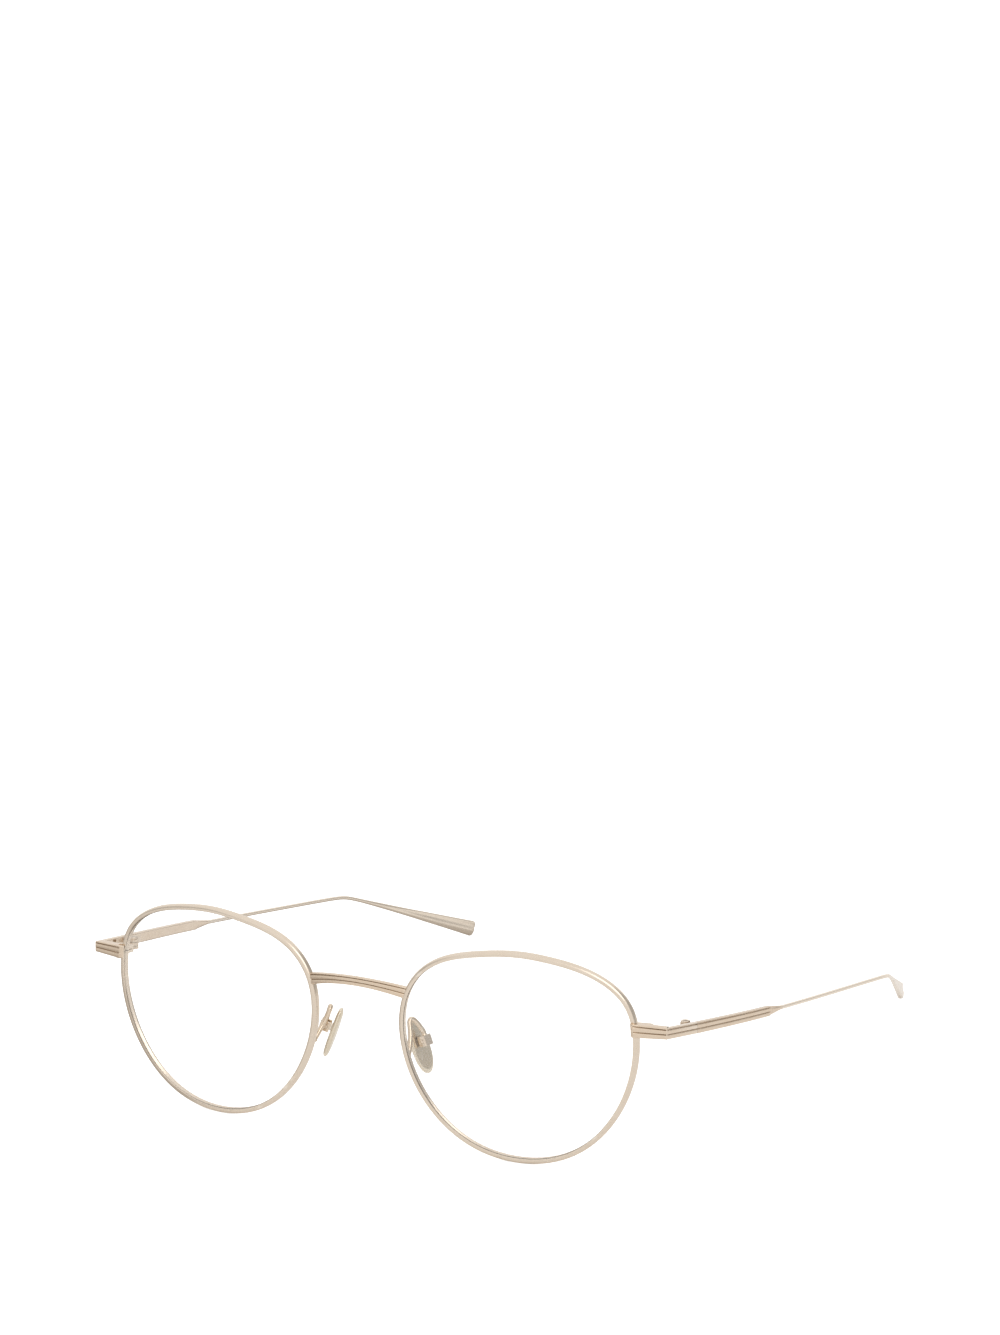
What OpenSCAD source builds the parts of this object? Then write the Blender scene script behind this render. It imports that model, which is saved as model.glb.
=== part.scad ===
// Round wire-rimmed eyeglasses, open and standing on their rims and temple tips.
// Millimetres, +Z up, +Y back towards the ears, +X the wearer's left.
// The origin is on the table, in the middle of the frame's outer box.

/* [Lens outline] */
// Width of the rim's centre line through the lens centre
eye_w = 50.6; // [45:0.1:56]
// Height of the rim's centre line through the lens centre
eye_h = 43.8; // [38:0.1:50]
// Distance between the lens centres
lens_pitch = 72; // [69:0.1:80]
// How far the bottom of the outline is rounder than the top
panto = 1.13; // [0.4:0.01:1.8]
// How much the shoulders of the outline flatten
shoulder = 0.24; // [0.1:0.01:0.6]
// How much the quarters of the outline square up
squareness = 0.24; // [0.1:0.01:0.6]
// How much the outline draws in at its sides and bulges between them
crown = 0.13; // [0:0.01:0.3]
// How far the outline is fuller towards the nose
nasal = 0.1; // [0:0.01:0.3]
// How far the outline bulges over the end pieces
bulge = 0.4; // [0:0.05:0.5]
// Turn of each lens round the face
wrap = 6.5; // [4:0.25:9]
// Lean of the lens tops to the front
lean = 1.5; // [0:0.25:4]

/* [Lenses] */
// Radius of the lens base curve
base_r = 124; // [90:1:180]
// Thickness of a lens
lens_t = 1.1; // [1:0.1:2]
// Play between the lens edge and its groove
lens_play = 0.06; // [0.04:0.01:0.1]

/* [Rims] */
// Rim wire width, seen from the front
rim_w = 1.1; // [0.9:0.05:1.5]
// Rim wire depth, front to back
rim_d = 1.65; // [1.5:0.05:2.4]
// Depth of the lens groove
groove_d = 0.45; // [0.3:0.05:0.5]
// Width of the lens groove at its mouth
groove_w = 1.0; // [0.7:0.05:1.05]
// Corner cut of the rim wire
rim_cut = 0.3; // [0.15:0.05:0.4]
// Slit between the two rim ends at the closing block
slit = 0.14; // [0.08:0.02:0.3]

/* [Bridge] */
// Height of the bridge over the lens centres
bridge_up = 9.9; // [7:0.1:12]
// Rise of the bridge's middle over its ends
bridge_arch = 1.5; // [0.5:0.1:3]
// How far the bridge's middle stands in front of its ends
bridge_bow = 2; // [0.5:0.1:3]
// Height of the bridge bar in the middle
bridge_mid_h = 1.9; // [1.5:0.1:2.6]
// Height of the bridge bar at the rims
bridge_end_h = 2.5; // [1.8:0.1:3]
// Depth of the bridge bar, front to back
bridge_t = 1.3; // [1:0.1:1.8]
// How deep the bridge ends are brazed into the rims
braze = 0.2; // [0.1:0.05:0.3]

/* [End pieces] */
// Height of the end pieces' corners over the table
lug_z = 31.1; // [30.6:0.1:31.6]
// Length of an end piece's front, from the rim to the corner
lug_l = 6.7; // [6:0.1:9]
// Length of an end piece's side, from the corner to the temple
lug_side_l = 11.8; // [10.5:0.1:14]
// Height of an end piece at the rim
lug_rim_h = 2.8; // [2.6:0.1:3.2]
// Height of an end piece at the corner, along its side and at the temple
lug_h = 2.4; // [2.2:0.1:2.8]
// Thickness of an end piece's front
lug_front_t = 2.1; // [1.8:0.1:2.4]
// Turn of an end piece's front round the face
lug_yaw = 12; // [8:0.5:14]
// How far an end piece stands in front of the rim
lug_proud = 1; // [0.9:0.05:1.1]
// How far an end piece laps over the front of the rim
lug_lap = 1; // [0.8:0.05:1.1]
// Length of the bevel at an end piece's end
lug_bevel = 0.6; // [0.4:0.05:0.7]
// Thickness of an end piece's end over the rim
lug_end_t = 0.3; // [0.25:0.05:0.5]
// Gap between an end piece and the rim
lug_gap = 0.1; // [0.05:0.01:0.15]

/* [Closing blocks] */
// Width of a closing block, from the rim to the middle of its round end
lock_w = 2; // [1.6:0.1:2.6]
// Depth of a closing block
lock_l = 2.2; // [2.1:0.1:2.6]
// How far a closing block laps over the back of the rim
lock_lap = 0.5; // [0.4:0.05:0.7]
// Height of each half of a closing block
lock_h = 0.7; // [0.6:0.05:0.85]
// Diameter of the closing screw's thread
rim_screw_d = 1.2; // [1:0.05:1.3]
// Head diameter of the closing screw
rim_screw_head_d = 1.9; // [1.6:0.05:2]

/* [Hinges] */
// Radius of the hinge knuckles
knuckle_r = 1.1; // [1:0.05:1.3]
// Height of the middle knuckle
knuckle_h = 0.8; // [0.7:0.05:1]
// Height of the upper and lower knuckles
cheek_h = 0.65; // [0.55:0.05:0.8]
// How far the middle of the hinge is under the middle of the beam
hinge_low = 0.35; // [0.1:0.05:0.4]
// Gap between neighbouring hinge faces
hinge_gap = 0.05; // [0.03:0.01:0.08]
// Thickness of the hinge leaves
leaf_t = 0.4; // [0.3:0.05:0.6]
// Length of a hinge leaf
leaf_l = 5.5; // [4.5:0.1:7]
// Height of a hinge leaf
leaf_h = 1.9; // [1.6:0.1:2.1]
// Diameter of the hinge screw's shank
hinge_screw_d = 1.2; // [1:0.05:1.3]
// Running clearance round the hinge and pad screws
run_play = 0.04; // [0.02:0.01:0.08]
// Head diameter of the hinge screw
hinge_screw_head_d = 1.9; // [1.7:0.05:2.1]
// Thickness of the hinge and closing screws' heads
head_h = 0.4; // [0.35:0.05:0.5]
// Width of the screwdriver slots
slot_w = 0.3; // [0.2:0.05:0.4]
// Depth of the screwdriver slots
slot_d = 0.2; // [0.1:0.05:0.3]

/* [Temples] */
// Depth from the corner to the tip of the ear
temple_reach = 144.1; // [136:0.1:152]
// Depth from the corner to the end of the grooved beam
beam_l = 42.5; // [38:0.5:48]
// Depth over which the beam tapers into the wire
beam_taper = 6; // [4:0.5:9]
// Depth from the corner to the middle of the temple's sideways curve
curve_l = 38; // [34:1:44]
// Thickness of the temple beam
beam_t = 1.2; // [1:0.05:1.5]
// Height of the temple beam at its end
beam_end_h = 2.15; // [1.6:0.05:2.3]
// Diameter of the temple wire
wire_d = 0.9; // [0.8:0.05:1.3]
// Depth from the corner to the ear bend
ear_l = 106.6; // [100:0.1:114]
// Height of the ear tip's end
tip_h = 3.8; // [3:0.1:5]
// Thickness of the ear tip's end
tip_t = 1.7; // [1.3:0.1:2.2]
// Sideways slope of the beam, outwards
beam_out = 0.094; // [0.07:0.001:0.11]
// Sideways slope of the wire, inwards
wire_in = 0.028; // [0.01:0.001:0.05]
// Sideways slope of the ear tip, inwards
tip_in = 0.363; // [0.3:0.001:0.42]
// Downward slope of the beam
beam_down = 0.137; // [0.12:0.001:0.145]
// Downward slope of the wire
wire_down = 0.131; // [0.12:0.001:0.14]
// Softness of the sideways curve
curve_soft = 22; // [15:1:30]
// Softness of the ear bend
ear_soft = 2.5; // [1.5:0.5:8]

/* [Nose pads] */
// Diameter of the pad arm wire
arm_d = 1.05; // [0.9:0.05:1.15]
// Length of a nose pad
pad_l = 11.8; // [10:0.1:13]
// Width of a nose pad
pad_w = 4.8; // [4.4:0.1:5.6]
// Thickness of a nose pad
pad_t = 1.2; // [0.9:0.1:1.4]
// Sideways place of a pad's middle
pad_x = 10.3; // [9.9:0.1:10.8]
// Depth of a pad's middle behind the lens centres
pad_y = 7; // [6.7:0.1:7.6]
// Height of a pad's middle over the table
pad_z = 19.9; // [19.5:0.1:20.5]
// Frontal angle of the pads, spreading downwards
pad_flare = 21; // [18:1:24]
// Splay angle of the pads, spreading backwards
pad_splay = 17; // [14:1:22]
// Distance of the pad screw from the pad's middle plane
pad_stand = 2; // [1.9:0.1:2.5]
// Height of the pad screw over the pad's middle, along the pad
pad_screw_up = 0.9; // [0.6:0.1:1.4]
// Diameter of the pad screw
pad_screw_d = 0.9; // [0.8:0.05:0.95]
// Diameter of the pad screw's domed head
pad_screw_head_d = 1.9; // [1.5:0.05:2]
// Thickness of a pad's fixing tab
tab_t = 0.8; // [0.6:0.05:0.9]
// Radius of the fixing tab's round end
tab_r = 0.7; // [0.65:0.05:0.75]
// Play on each side of the fixing tab in its box
tab_play = 0.05; // [0.03:0.01:0.1]
// Wall of a pad box
box_wall = 0.5; // [0.4:0.05:0.6]
// Length of a pad box along the pad
box_l = 2.2; // [2:0.1:2.5]
// How far a pad box reaches past its screw towards the pad
box_lip = 0.9; // [0.8:0.05:1]
// How far a pad arm loops behind the rim
arm_back = 4.7; // [4.4:0.1:5]
// Height of a pad arm's loop over the pad's middle
arm_up = 6.2; // [6:0.1:6.6]
// Sideways place of a pad arm's loop
arm_x = 9.5; // [9.3:0.1:9.8]

/* [Hidden] */
gold = [0.85, 0.79, 0.71];
gold_dark = [0.74, 0.66, 0.56];
clear = [0.93, 0.96, 0.97, 0.3];
rim_steps = 96;
round_fn = 32;
eps = 0.01;

function unit(v) = v / norm(v);
function flip(l) = [for (i = [len(l) - 1:-1:0]) l[i]];

// Joins rings of points into one closed skin
module sweep(rings, inside_out = false) {
    n = len(rings);
    m = len(rings[0]);
    sides = [
        for (i = [0:n - 2], j = [0:m - 1], half = [0, 1])
            let (a = i * m + j, b = i * m + (j + 1) % m)
            half == 0 ? [a, b, b + m] : [a, b + m, a + m]
    ];
    ends = [[for (j = [m - 1:-1:0]) j], [for (j = [0:m - 1]) (n - 1) * m + j]];
    faces = concat(sides, ends);
    polyhedron(
        points = [for (r = rings) each r],
        faces = inside_out ? [for (f = faces) flip(f)] : faces,
        convexity = 6
    );
}

// One ring of section points (outwards, up) round a point of a path that runs along a direction
function ring_at(p, along, section) =
    let (out = unit(cross(along, [0, 0, 1])), up = unit(cross(out, along)))
    [for (s = section) p + s.x * out + s.y * up];

// Bar section with two grooves in its outer face, one unit wide and high
groove = 0.2;
upper_groove = 0.34;
lower_groove = -0.07;
function grooved(g) = [
    [0.36, -0.5], [0.5, -0.42], [0.5, lower_groove - 0.06], [0.5 - g, lower_groove],
    [0.5, lower_groove + 0.06], [0.5, upper_groove - 0.06], [0.5 - g, upper_groove],
    [0.5, upper_groove + 0.06], [0.5, 0.45], [0.4, 0.5], [-0.36, 0.5], [-0.5, 0.42],
    [-0.5, 0.14], [-0.5, -0.14], [-0.5, -0.42], [-0.36, -0.5]
];
// Round section with as many points in the same order
rounded = [for (i = [0:15]) 0.5 * [cos(22.5 * (i - 4.5)), sin(22.5 * (i - 4.5))]];
// Section of a given width and height, from grooved (0) to round (1)
function section(w, h, roundness, g = groove) = [
    for (i = [0:15])
        let (s = (1 - roundness) * grooved(g)[i] + roundness * rounded[i])
        [s.x * w, s.y * h]
];

// Lens outline: distance of the rim's centre line from the lens centre, 0 degrees is outwards
mean_r = (eye_w + eye_h) / 4 + squareness;
oval = (eye_w - eye_h) / 4 + shoulder / 2;
function outline_r(th) = mean_r + oval * cos(2 * th) - squareness * cos(4 * th)
    + panto * sin(3 * th) - shoulder * cos(6 * th) * (1 + sin(th)) / 2
    + crown * sin(5 * th) - nasal * cos(3 * th) + bulge * pow(max(0, cos(th - 28)), 40);
function outline_p(th) = outline_r(th) * [cos(th), sin(th)];

// A point of the rim in the lens frame: a is outwards from the centre line, b is backwards
function rim_point(th, a, b) =
    let (p = outline_p(th), q = outline_p(th + 0.5) - outline_p(th - 0.5))
    let (out = unit([q.y, 0, -q.x]))
    [p.x, (p.x * p.x + p.y * p.y) / (2 * base_r) + b, p.y] + a * out;

// Height of the lens centres, with the rims' lowest points on the table
low_r = outline_r(270);
lens_z = (low_r + rim_w / 2) * cos(lean) - (low_r * low_r / (2 * base_r) - rim_d / 2 + rim_cut) * sin(lean);

// From the lens frame to the frame of the whole front
function lean_p(p) = [p.x, p.y * cos(lean) - p.z * sin(lean), p.y * sin(lean) + p.z * cos(lean)];
function turn_p(p, a) = [p.x * cos(a) - p.y * sin(a), p.x * sin(a) + p.y * cos(a), p.z];
function front_p(p) = turn_p(lean_p(p), wrap) + [lens_pitch / 2, 0, lens_z];

// Angle on the outline at a height over the lens centre
function angle_at(up) = asin(up / outline_r(asin(up / (eye_w / 2))));

// End piece: where the rim is split, and the corner of the outer faces
split_th = angle_at((lug_z - lens_z) / cos(lean));
rim_edge = front_p(rim_point(split_th, rim_w / 2, -rim_d / 2));
lug_p = [rim_edge.x, rim_edge.y - lug_proud];
corner = lug_p + lug_l * [cos(lug_yaw), sin(lug_yaw)];

// Temple: centre line against the depth behind the corner, with softened bends
function soft(d, k) = (d + sqrt(d * d + k * k)) / 2;
// Drop of the ear tip's slope, chosen so that the tip rests on the table
tip_slope_guess = 22;
tip_low = tip_h / 2 * cos(tip_slope_guess);
no_drop_z = lug_z - beam_down * temple_reach - (wire_down - beam_down) * soft(temple_reach - curve_l, curve_soft);
tip_down = (no_drop_z - tip_low) / soft(temple_reach - ear_l, ear_soft);
function temple_x(s) = corner.x - beam_t / 2 + beam_out * s
    - (wire_in + beam_out) * (soft(s - curve_l, curve_soft) - soft(-curve_l, curve_soft))
    - (tip_in - wire_in) * soft(s - ear_l, ear_soft);
function temple_z(s) = lug_z - beam_down * s
    - (wire_down - beam_down) * (soft(s - curve_l, curve_soft) - soft(-curve_l, curve_soft))
    - tip_down * soft(s - ear_l, ear_soft);
function temple_p(s) = [temple_x(s), corner.y + s, temple_z(s)];
function temple_along(s) = unit(temple_p(s + 0.1) - temple_p(s - 0.1));

// Hinge: its frame has x outwards and y backwards along the temple, at the joint's inner face
joint_s = lug_side_l;
joint_p = temple_p(joint_s);
side_slope = (joint_p.x - temple_x(0)) / joint_s;
side_yaw = -atan(side_slope);
side_drop = atan(beam_down);
lug_t = beam_t;
hinge_in = knuckle_r + 2 * hinge_gap + leaf_t;
column_h = knuckle_h + 2 * hinge_gap + 2 * cheek_h;

// Nose pads
box_bed = tab_r + tab_play + eps;

// Middle of the frame's depth, which goes over the origin
bridge_th = 180 - angle_at(bridge_up);
bridge_end = front_p(rim_point(bridge_th, rim_w / 2 - braze, 0));
front_y = bridge_end.y - bridge_bow - bridge_t / 2;
back_y = corner.y + temple_reach + tip_h / 2 * sin(tip_slope_guess);
middle_y = (front_y + back_y) / 2;

// Puts a piece of one side in its place: 1 is the wearer's left, -1 is the right
module placed(side) {
    mirror([side > 0 ? 0 : 1, 0, 0]) translate([0, -middle_y, 0]) children();
}
module at_lens() {
    translate([lens_pitch / 2, 0, lens_z]) rotate([lean, 0, wrap]) children();
}
module at_lug() {
    translate([lug_p.x, lug_p.y, lug_z]) rotate([0, 0, lug_yaw]) children();
}
module at_lock_screw() {
    at_lug() translate([lock_w, lug_front_t + lock_l / 2, 0]) children();
}
module at_hinge() {
    translate(joint_p) rotate([0, 0, side_yaw]) translate([-beam_t / 2, 0, 0]) children();
}
module at_hinge_axis() {
    at_hinge() translate([-hinge_in, 0, -hinge_low]) children();
}
module at_pad() {
    translate([pad_x, pad_y, pad_z]) rotate([0, -pad_flare, 0]) rotate([0, 0, -pad_splay]) children();
}
module at_pad_screw() {
    at_pad() translate([pad_stand, 0, pad_screw_up]) children();
}
function pad_p(p) =
    let (q = turn_p(p, -pad_splay))
    [q.x * cos(pad_flare) - q.z * sin(pad_flare), q.y, q.x * sin(pad_flare) + q.z * cos(pad_flare)]
    + [pad_x, pad_y, pad_z];

// Section of the rim wire, outwards and backwards, with the lens groove inside
rim_section = [
    [rim_w / 2, -rim_d / 2 + rim_cut], [rim_w / 2, rim_d / 2 - rim_cut], [rim_w / 2 - rim_cut, rim_d / 2],
    [-rim_w / 2, rim_d / 2], [-rim_w / 2, groove_w / 2], [groove_d - rim_w / 2, 0],
    [-rim_w / 2, -groove_w / 2], [-rim_w / 2, -rim_d / 2], [rim_w / 2 - rim_cut, -rim_d / 2]
];
half_slit = asin(slit / 2 / mean_r);
function rim_angle(i) = split_th + half_slit + (360 - 2 * half_slit) * i / rim_steps;

module rim(side) {
    color(gold) placed(side) at_lens() sweep([
        for (i = [0:rim_steps]) [for (s = rim_section) rim_point(rim_angle(i), s.x, s.y)]
    ], inside_out = true);
}

// A lens: front face, bevel in the groove, back face
edge_in = -rim_w / 2 - lens_play;
bevel_in = groove_d - rim_w / 2 - 2 * lens_play;
bevel_w = groove_w / 2 - lens_play;
function lens_ring(share, b) = [
    for (i = [0:rim_steps - 1])
        let (p = rim_point(rim_angle(i), edge_in, 0))
        [p.x * share, p.y * share * share + b, p.z * share]
];
function edge_ring(a, b) = [for (i = [0:rim_steps - 1]) rim_point(rim_angle(i), a, b)];
module lens(side) {
    shares = [0.04, 0.4, 0.75];
    color(clear) placed(side) at_lens() sweep(concat(
        [for (k = shares) lens_ring(k, -lens_t / 2)],
        [edge_ring(edge_in, -lens_t / 2), edge_ring(edge_in, -bevel_w), edge_ring(bevel_in, 0)],
        [edge_ring(edge_in, bevel_w), edge_ring(edge_in, lens_t / 2)],
        [for (k = flip(shares)) lens_ring(k, lens_t / 2)]
    ));
}

// The bridge bar: arched up and bowed forwards between the rims
bridge_steps = 20;
function bridge_p(u) = [
    bridge_end.x * u, bridge_end.y - bridge_bow * (1 - u * u), bridge_end.z + bridge_arch * (1 - u * u)
];
module bridge() {
    color(gold) placed(1) sweep([
        for (i = [0:bridge_steps])
            let (u = 2 * i / bridge_steps - 1, h = bridge_mid_h + (bridge_end_h - bridge_mid_h) * u * u)
            ring_at(bridge_p(u), bridge_p(u + 0.01) - bridge_p(u - 0.01), section(bridge_t, h, 0))
    ]);
}

// The grooved end piece: a bevelled lap over the rim, the grooved front, the mitred corner, the side
lug_dir = [cos(lug_yaw), sin(lug_yaw), 0];
rim_tangent = outline_p(split_th + 0.5) - outline_p(split_th - 0.5);
rim_slant = rim_tangent.x / rim_tangent.y;
function lug_ring(p, h, inwards, slant, g) = [
    for (s = section(1, h, 0, g)) p + (0.5 - s.x) * inwards + [0, 0, s.y] + slant * s.y * lug_dir
];
module end_piece(side) {
    to_front = [sin(lug_yaw), -cos(lug_yaw), 0];
    to_side = [cos(side_yaw), sin(side_yaw), 0];
    c = to_front * to_side;
    mitre = -((lug_front_t - c * lug_t) * to_front + (lug_t - c * lug_front_t) * to_side) / (1 - c * c);
    start = [lug_p.x, lug_p.y, lug_z];
    to_back = -lug_front_t * to_front;
    lap_t = lug_proud - lug_gap;
    lap_back = -lap_t * to_front;
    bevel_end = start + (lug_bevel - lug_lap) * lug_dir;
    lap_end = start + (3 * lug_gap + abs(rim_slant) * lug_rim_h / 2) * lug_dir;
    groove_t = groove * lug_t;
    color(gold) placed(side) sweep([
        lug_ring(start - lug_lap * lug_dir - (lap_t - lug_end_t) * to_front, lug_rim_h,
            -lug_end_t * to_front, rim_slant / 2, 0),
        lug_ring(bevel_end, lug_rim_h, lap_back, rim_slant / 2, 0),
        lug_ring(bevel_end + lug_gap * lug_dir, lug_rim_h, lap_back, rim_slant / 2, groove_t / lap_t),
        lug_ring(lap_end, lug_rim_h, lap_back, 0, groove_t / lap_t),
        lug_ring(lap_end + lug_gap / 2 * lug_dir, lug_rim_h, to_back, 0, groove_t / lug_front_t),
        lug_ring([corner.x, corner.y, lug_z], lug_h, mitre, 0, groove),
        lug_ring(joint_p + lug_t / 2 * to_side, lug_h, -lug_t * to_side, 0, groove)
    ]);
}

// One half of the closing block: 1 is the upper half, -1 is the lower
module rim_lock(side, half) {
    from_lug = half > 0 ? 0 : hinge_gap;
    color(gold_dark) placed(side) at_lock_screw() mirror([0, 0, half > 0 ? 0 : 1]) difference() {
        union() {
            translate([-lock_w - lock_lap, from_lug - lock_l / 2, slit / 2])
                cube([lock_w + lock_lap, lock_l - from_lug, lock_h]);
            translate([0, from_lug / 2, slit / 2])
                cylinder(d = lock_l - from_lug, h = lock_h, $fn = round_fn);
        }
        translate([0, 0, -eps]) cylinder(d = rim_screw_d + 2 * run_play, h = lock_h + slit, $fn = round_fn);
    }
}

// A slotted screw that points down, its head's underside at z = 0
module screw(shank_d, shank_l, head_d, head_t) {
    difference() {
        union() {
            cylinder(d = head_d, h = head_t, $fn = round_fn);
            translate([0, 0, -shank_l]) cylinder(d = shank_d, h = shank_l + eps, $fn = round_fn);
        }
        translate([-head_d, -slot_w / 2, head_t - slot_d]) cube([2 * head_d, slot_w, 2 * slot_d]);
    }
}
module rim_screw(side) {
    color(gold_dark) placed(side) at_lock_screw() translate([0, 0, -slit / 2 - lock_h]) rotate([180, 0, 0])
        screw(rim_screw_d, 2 * lock_h + slit, rim_screw_head_d, head_h);
}

// A hinge leaf on the inside of the side bar, running back from the joint
module leaf() {
    rotate([-side_drop, 0, 0]) translate([-leaf_t, hinge_gap, -leaf_h / 2])
        cube([leaf_t, leaf_l, leaf_h]);
}
// A knuckle on the hinge axis with its web to the leaf
module knuckle(z, h) {
    web_x = hinge_in - leaf_t / 2;
    difference() {
        union() {
            translate([0, 0, z]) cylinder(r = knuckle_r, h = h, $fn = round_fn);
            translate([0, hinge_gap, z]) cube([web_x, knuckle_r - hinge_gap, h]);
        }
        translate([0, 0, z - eps])
            cylinder(d = hinge_screw_d + 2 * run_play, h = h + 2 * eps, $fn = round_fn);
    }
}
module hinge_front(side) {
    color(gold_dark) placed(side) {
        at_hinge() mirror([0, 1, 0]) mirror([0, 0, 1]) leaf();
        at_hinge_axis() mirror([0, 1, 0]) {
            knuckle(knuckle_h / 2 + hinge_gap, cheek_h);
            knuckle(-knuckle_h / 2 - hinge_gap - cheek_h, cheek_h);
        }
    }
}
module hinge_temple(side) {
    color(gold_dark) placed(side) {
        at_hinge() leaf();
        at_hinge_axis() knuckle(-knuckle_h / 2, knuckle_h);
    }
}
module hinge_screw(side) {
    color(gold_dark) placed(side) at_hinge_axis() translate([0, 0, column_h / 2])
        screw(hinge_screw_d, column_h, hinge_screw_head_d, head_h);
}

// The temple: grooved beam, taper, wire, and the flattened ear tip
wire_s = beam_l + beam_taper;
tip_s = ear_l + 4;
tip_round = 0.9;
temple_stations = concat(
    [joint_s + hinge_gap, joint_s + 10, joint_s + 20, beam_l - 4, beam_l],
    [for (i = [1:4]) beam_l + beam_taper * i / 4],
    [for (i = [1:10]) wire_s + (ear_l - 5 - wire_s) * i / 10],
    [ear_l - 3, ear_l - 1.5, ear_l, ear_l + 1.5, tip_s],
    [for (i = [1:9]) tip_s + (temple_reach - tip_round - tip_s) * i / 9],
    [for (a = [30, 60, 80]) temple_reach - tip_round + tip_round * sin(a)]
);
function blend(s, from, to) = max(0, min(1, (s - from) / (to - from)));
function beam_h(s) = lug_h + (beam_end_h - lug_h) * blend(s, joint_s, beam_l);
function temple_section(s) =
    let (to_wire = blend(s, beam_l, wire_s), to_tip = pow(blend(s, tip_s, temple_reach), 1.25))
    let (w = beam_t + (wire_d - beam_t) * to_wire + (tip_t - wire_d) * to_tip)
    let (h = beam_h(s) + (wire_d - beam_end_h) * to_wire + (tip_h - wire_d) * to_tip)
    let (e = max(0, s - temple_reach + tip_round) / tip_round, close = sqrt(1 - e * e))
    section(w * close, h * close, sqrt(to_wire));
module temple(side) {
    color(gold) placed(side) sweep([
        for (s = temple_stations)
            ring_at(
                temple_p(s),
                s < joint_s + 1 ? [-sin(side_yaw), cos(side_yaw), 0] : temple_along(s),
                temple_section(s)
            )
    ]);
}

// The pad arm: brazed behind the rim, up round a loop and down to the pad box
arm_foot = front_p(rim_point(188, 0, rim_d / 2 - braze / 2));
arm_end = pad_p([pad_stand + 0.4, 0, pad_screw_up + box_l / 2 - braze]);
arm_pts = [
    arm_foot,
    arm_foot + [-0.1, 0.7, 0.5],
    [arm_foot.x / 2 + arm_x / 2, arm_back / 2 + 0.7, (arm_foot.z + pad_z + arm_up) / 2],
    [arm_x, arm_back - 0.5, pad_z + arm_up - 0.3],
    [arm_x + 0.5, arm_back + 0.4, pad_z + arm_up - 0.2],
    pad_p([pad_stand + 0.4, 0, pad_screw_up + box_l / 2 + 1.1]),
    arm_end
];
arm_sides = 10;
arm_per = 4;
function curve_p(pts, i, u) =
    let (n = len(pts) - 1)
    let (a = pts[max(i - 1, 0)], b = pts[i], c = pts[i + 1], d = pts[min(i + 2, n)])
    b + u * (c - a) / 2 + u * u * (2 * a - 5 * b + 4 * c - d) / 2 + u * u * u * (3 * b - a - 3 * c + d) / 2;
function curve(pts, per) = concat(
    [for (i = [0:len(pts) - 2], j = [0:per - 1]) curve_p(pts, i, j / per)], [pts[len(pts) - 1]]
);
module tube(pts, d, sides) {
    n = len(pts) - 1;
    sweep([
        for (i = [0:n])
            let (along = unit(pts[min(i + 1, n)] - pts[max(i - 1, 0)]))
            let (out = unit(cross(along, [1, 0, 0])), up = cross(out, along))
            [for (j = [0:sides - 1]) pts[i] + d / 2 * (cos(360 * j / sides) * out + sin(360 * j / sides) * up)]
    ]);
}
module pad_arm(side) {
    color(gold) placed(side) tube(curve(arm_pts, arm_per), arm_d, arm_sides);
}

// The open box that holds the pad's tab, with the screw's bore across it
cheek_y = tab_t / 2 + tab_play;
module pad_box(side) {
    color(gold) placed(side) at_pad_screw() difference() {
        translate([-box_lip, -cheek_y - box_wall, -box_l / 2])
            cube([box_lip + box_bed + box_wall, 2 * (cheek_y + box_wall), box_l]);
        translate([-box_lip - eps, -cheek_y, -box_l / 2 - eps])
            cube([box_lip + box_bed + eps, 2 * cheek_y, box_l + 2 * eps]);
        rotate([90, 0, 0])
            cylinder(d = pad_screw_d + 2 * run_play, h = 4 * (cheek_y + box_wall), center = true, $fn = round_fn);
    }
}
// The pad screw, its domed head behind the box
module pad_screw(side) {
    dome_r = pad_screw_head_d / 2;
    color(gold) placed(side) at_pad_screw() translate([0, cheek_y + box_wall, 0]) rotate([-90, 0, 0])
        difference() {
            union() {
                intersection() {
                    translate([0, 0, -dome_r * 0.35]) sphere(r = dome_r * 1.06, $fn = round_fn);
                    cylinder(r = 2 * dome_r, h = 2 * dome_r, $fn = round_fn);
                }
                translate([0, 0, -2 * (cheek_y + box_wall)])
                    cylinder(d = pad_screw_d, h = 2 * (cheek_y + box_wall) + eps, $fn = round_fn);
            }
            translate([-slot_w / 2, -dome_r * 2, dome_r * 0.71 - slot_d]) cube([slot_w, dome_r * 4, 2 * slot_d]);
        }
}

// The oval nose pad, thin at its rim, with its fixing tab
pad_skin = [[-0.5, 0.62], [-0.42, 0.84], [-0.15, 0.97], [0.15, 1], [0.38, 0.96], [0.5, 0.86]];
pad_sides = 36;
function pad_ring(x, share) = [
    for (j = [0:pad_sides - 1])
        let (a = 360 * j / pad_sides)
        [x * pad_t, share * pad_w / 2 * cos(a) * (1 - 0.12 * sin(a)), share * pad_l / 2 * sin(a)]
];
module nose_pad(side) {
    color(gold_dark) placed(side) {
        at_pad() sweep([for (s = pad_skin) pad_ring(s.x, s.y)], inside_out = true);
        at_pad_screw() difference() {
            union() {
                translate([pad_t / 4 - pad_stand, -tab_t / 2, -tab_r])
                    cube([pad_stand - pad_t / 4, tab_t, 2 * tab_r]);
                rotate([90, 0, 0]) cylinder(r = tab_r, h = tab_t, center = true, $fn = round_fn);
            }
            rotate([90, 0, 0])
                cylinder(d = pad_screw_d + 2 * run_play, h = 2 * tab_t, center = true, $fn = round_fn);
        }
    }
}

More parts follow.
